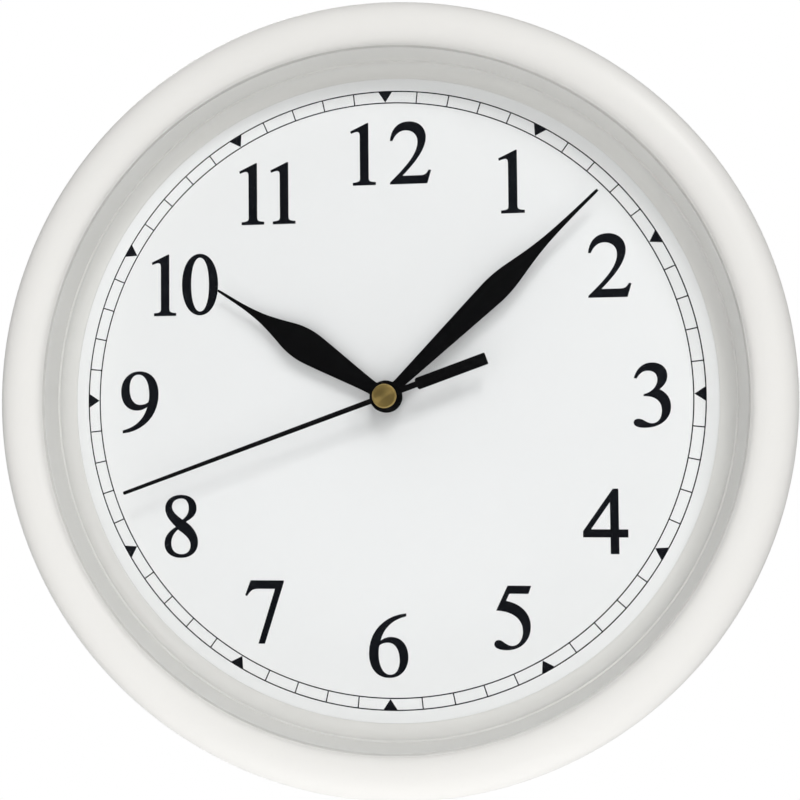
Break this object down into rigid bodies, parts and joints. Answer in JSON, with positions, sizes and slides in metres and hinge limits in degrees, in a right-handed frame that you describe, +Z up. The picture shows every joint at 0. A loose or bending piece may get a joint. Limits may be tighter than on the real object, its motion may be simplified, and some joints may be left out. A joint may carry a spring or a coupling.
{
  "type": "wall clock",
  "caption": "Round analogue wall clock with a moulded half-round ring, flat lens, printed dial, three hands and a quartz movement with a keyhole hanger behind.",
  "frame": {"origin": "the point on the wall plane where the wall screw bears, at the top of the hanger plate's keyhole slot; the hands' axis is 109 mm below it", "axes": "+Z up, +Y into the wall (the dial faces -Y), +X to the viewer's right"},
  "size_m": [0.254, 0.039, 0.254],
  "materials": {
    "case_plastic": "warm white moulded plastic, satin gloss",
    "lens_clear": "clear, polished",
    "dial_paper": "matt white printed card",
    "plate_plastic": "white moulded plastic, fine grain",
    "hand_black": "matt black enamel",
    "cap_brass": "turned face, lacquered",
    "movement_plastic": "black moulded plastic, fine grain",
    "gear_acetal": "natural acetal, smooth",
    "zinc_steel": "bright zinc plate",
    "spring_steel": "nickel-plated strip and wire",
    "coil_copper": "enamelled copper wire",
    "board_green": "green circuit board",
    "magnet_dark": "dark sintered iron",
    "battery_jacket": "printed film over steel can"
  },
  "bodies": {
    "clock_case": {"case_ring": "case_plastic", "lens": "lens_clear", "dial_card": "dial_paper", "dial_plate": "plate_plastic", "plate_screw_1": "zinc_steel", "plate_screw_2": "zinc_steel", "plate_screw_3": "zinc_steel", "plate_screw_4": "zinc_steel", "hanger_plate": "zinc_steel", "hanger_screw_1": "zinc_steel", "hanger_screw_2": "zinc_steel", "movement_housing": "movement_plastic", "movement_cover": "movement_plastic", "cover_screw_1": "zinc_steel", "cover_screw_2": "zinc_steel", "battery": "battery_jacket", "battery_contact": "spring_steel", "battery_spring": "spring_steel", "circuit_board": "board_green", "clock_chip": "movement_plastic", "quartz_crystal": "spring_steel", "coil_core": "magnet_dark", "coil_bobbin": "gear_acetal", "coil_winding": "coil_copper", "stator_plate": "spring_steel"},
    "second_hand_body": {"second_hand": "hand_black", "second_hand_tube": "cap_brass", "second_hand_cap": "cap_brass", "second_wheel": "gear_acetal"},
    "minute_hand_body": {"minute_hand": "hand_black", "cannon_pinion": "gear_acetal"},
    "hour_hand_body": {"hour_hand": "hand_black", "hour_wheel": "gear_acetal"},
    "setting_knob_body": {"setting_knob": "movement_plastic", "minute_wheel": "gear_acetal"},
    "step_wheel_body": {"step_wheel": "gear_acetal"},
    "rotor_body": {"rotor_magnet": "magnet_dark", "rotor_pinion": "gear_acetal"},
    "third_wheel_body": {"third_wheel": "gear_acetal"},
    "centre_wheel_body": {"centre_wheel": "gear_acetal"}
  },
  "joints": [
    {"name": "second_hand_turn", "type": "hinge", "parent": "clock_case", "child": "second_hand_body", "pos_m": [0, 0, -0.109], "axis": [0, 1, 0], "continuous": true},
    {"name": "step_wheel_turn", "type": "hinge", "parent": "clock_case", "child": "step_wheel_body", "pos_m": [-0.01008, 0, -0.109], "axis": [0, 1, 0], "continuous": true},
    {"name": "rotor_turn", "type": "hinge", "parent": "clock_case", "child": "rotor_body", "pos_m": [-0.01158, 0, -0.10049], "axis": [0, 1, 0], "continuous": true},
    {"name": "third_wheel_turn", "type": "hinge", "parent": "clock_case", "child": "third_wheel_body", "pos_m": [0.00349, 0, -0.09942], "axis": [0, 1, 0], "continuous": true},
    {"name": "centre_wheel_turn", "type": "hinge", "parent": "clock_case", "child": "centre_wheel_body", "pos_m": [0, 0, -0.109], "axis": [0, 1, 0], "continuous": true},
    {"name": "minute_hand_turn", "type": "hinge", "parent": "clock_case", "child": "minute_hand_body", "pos_m": [0, 0, -0.109], "axis": [0, 1, 0], "continuous": true},
    {"name": "setting_knob_turn", "type": "hinge", "parent": "clock_case", "child": "setting_knob_body", "pos_m": [0.0106, 0, -0.109], "axis": [0, 1, 0], "continuous": true},
    {"name": "hour_hand_turn", "type": "hinge", "parent": "clock_case", "child": "hour_hand_body", "pos_m": [0, 0, -0.109], "axis": [0, 1, 0], "continuous": true}
  ],
  "couplings": [
    {"joint": "step_wheel_turn", "follows": "second_hand_turn", "ratio": -6},
    {"joint": "rotor_turn", "follows": "second_hand_turn", "ratio": 30},
    {"joint": "third_wheel_turn", "follows": "second_hand_turn", "ratio": -0.13333},
    {"joint": "centre_wheel_turn", "follows": "second_hand_turn", "ratio": 0.016667},
    {"joint": "setting_knob_turn", "follows": "minute_hand_turn", "ratio": -0.33333},
    {"joint": "hour_hand_turn", "follows": "minute_hand_turn", "ratio": 0.083333}
  ]
}
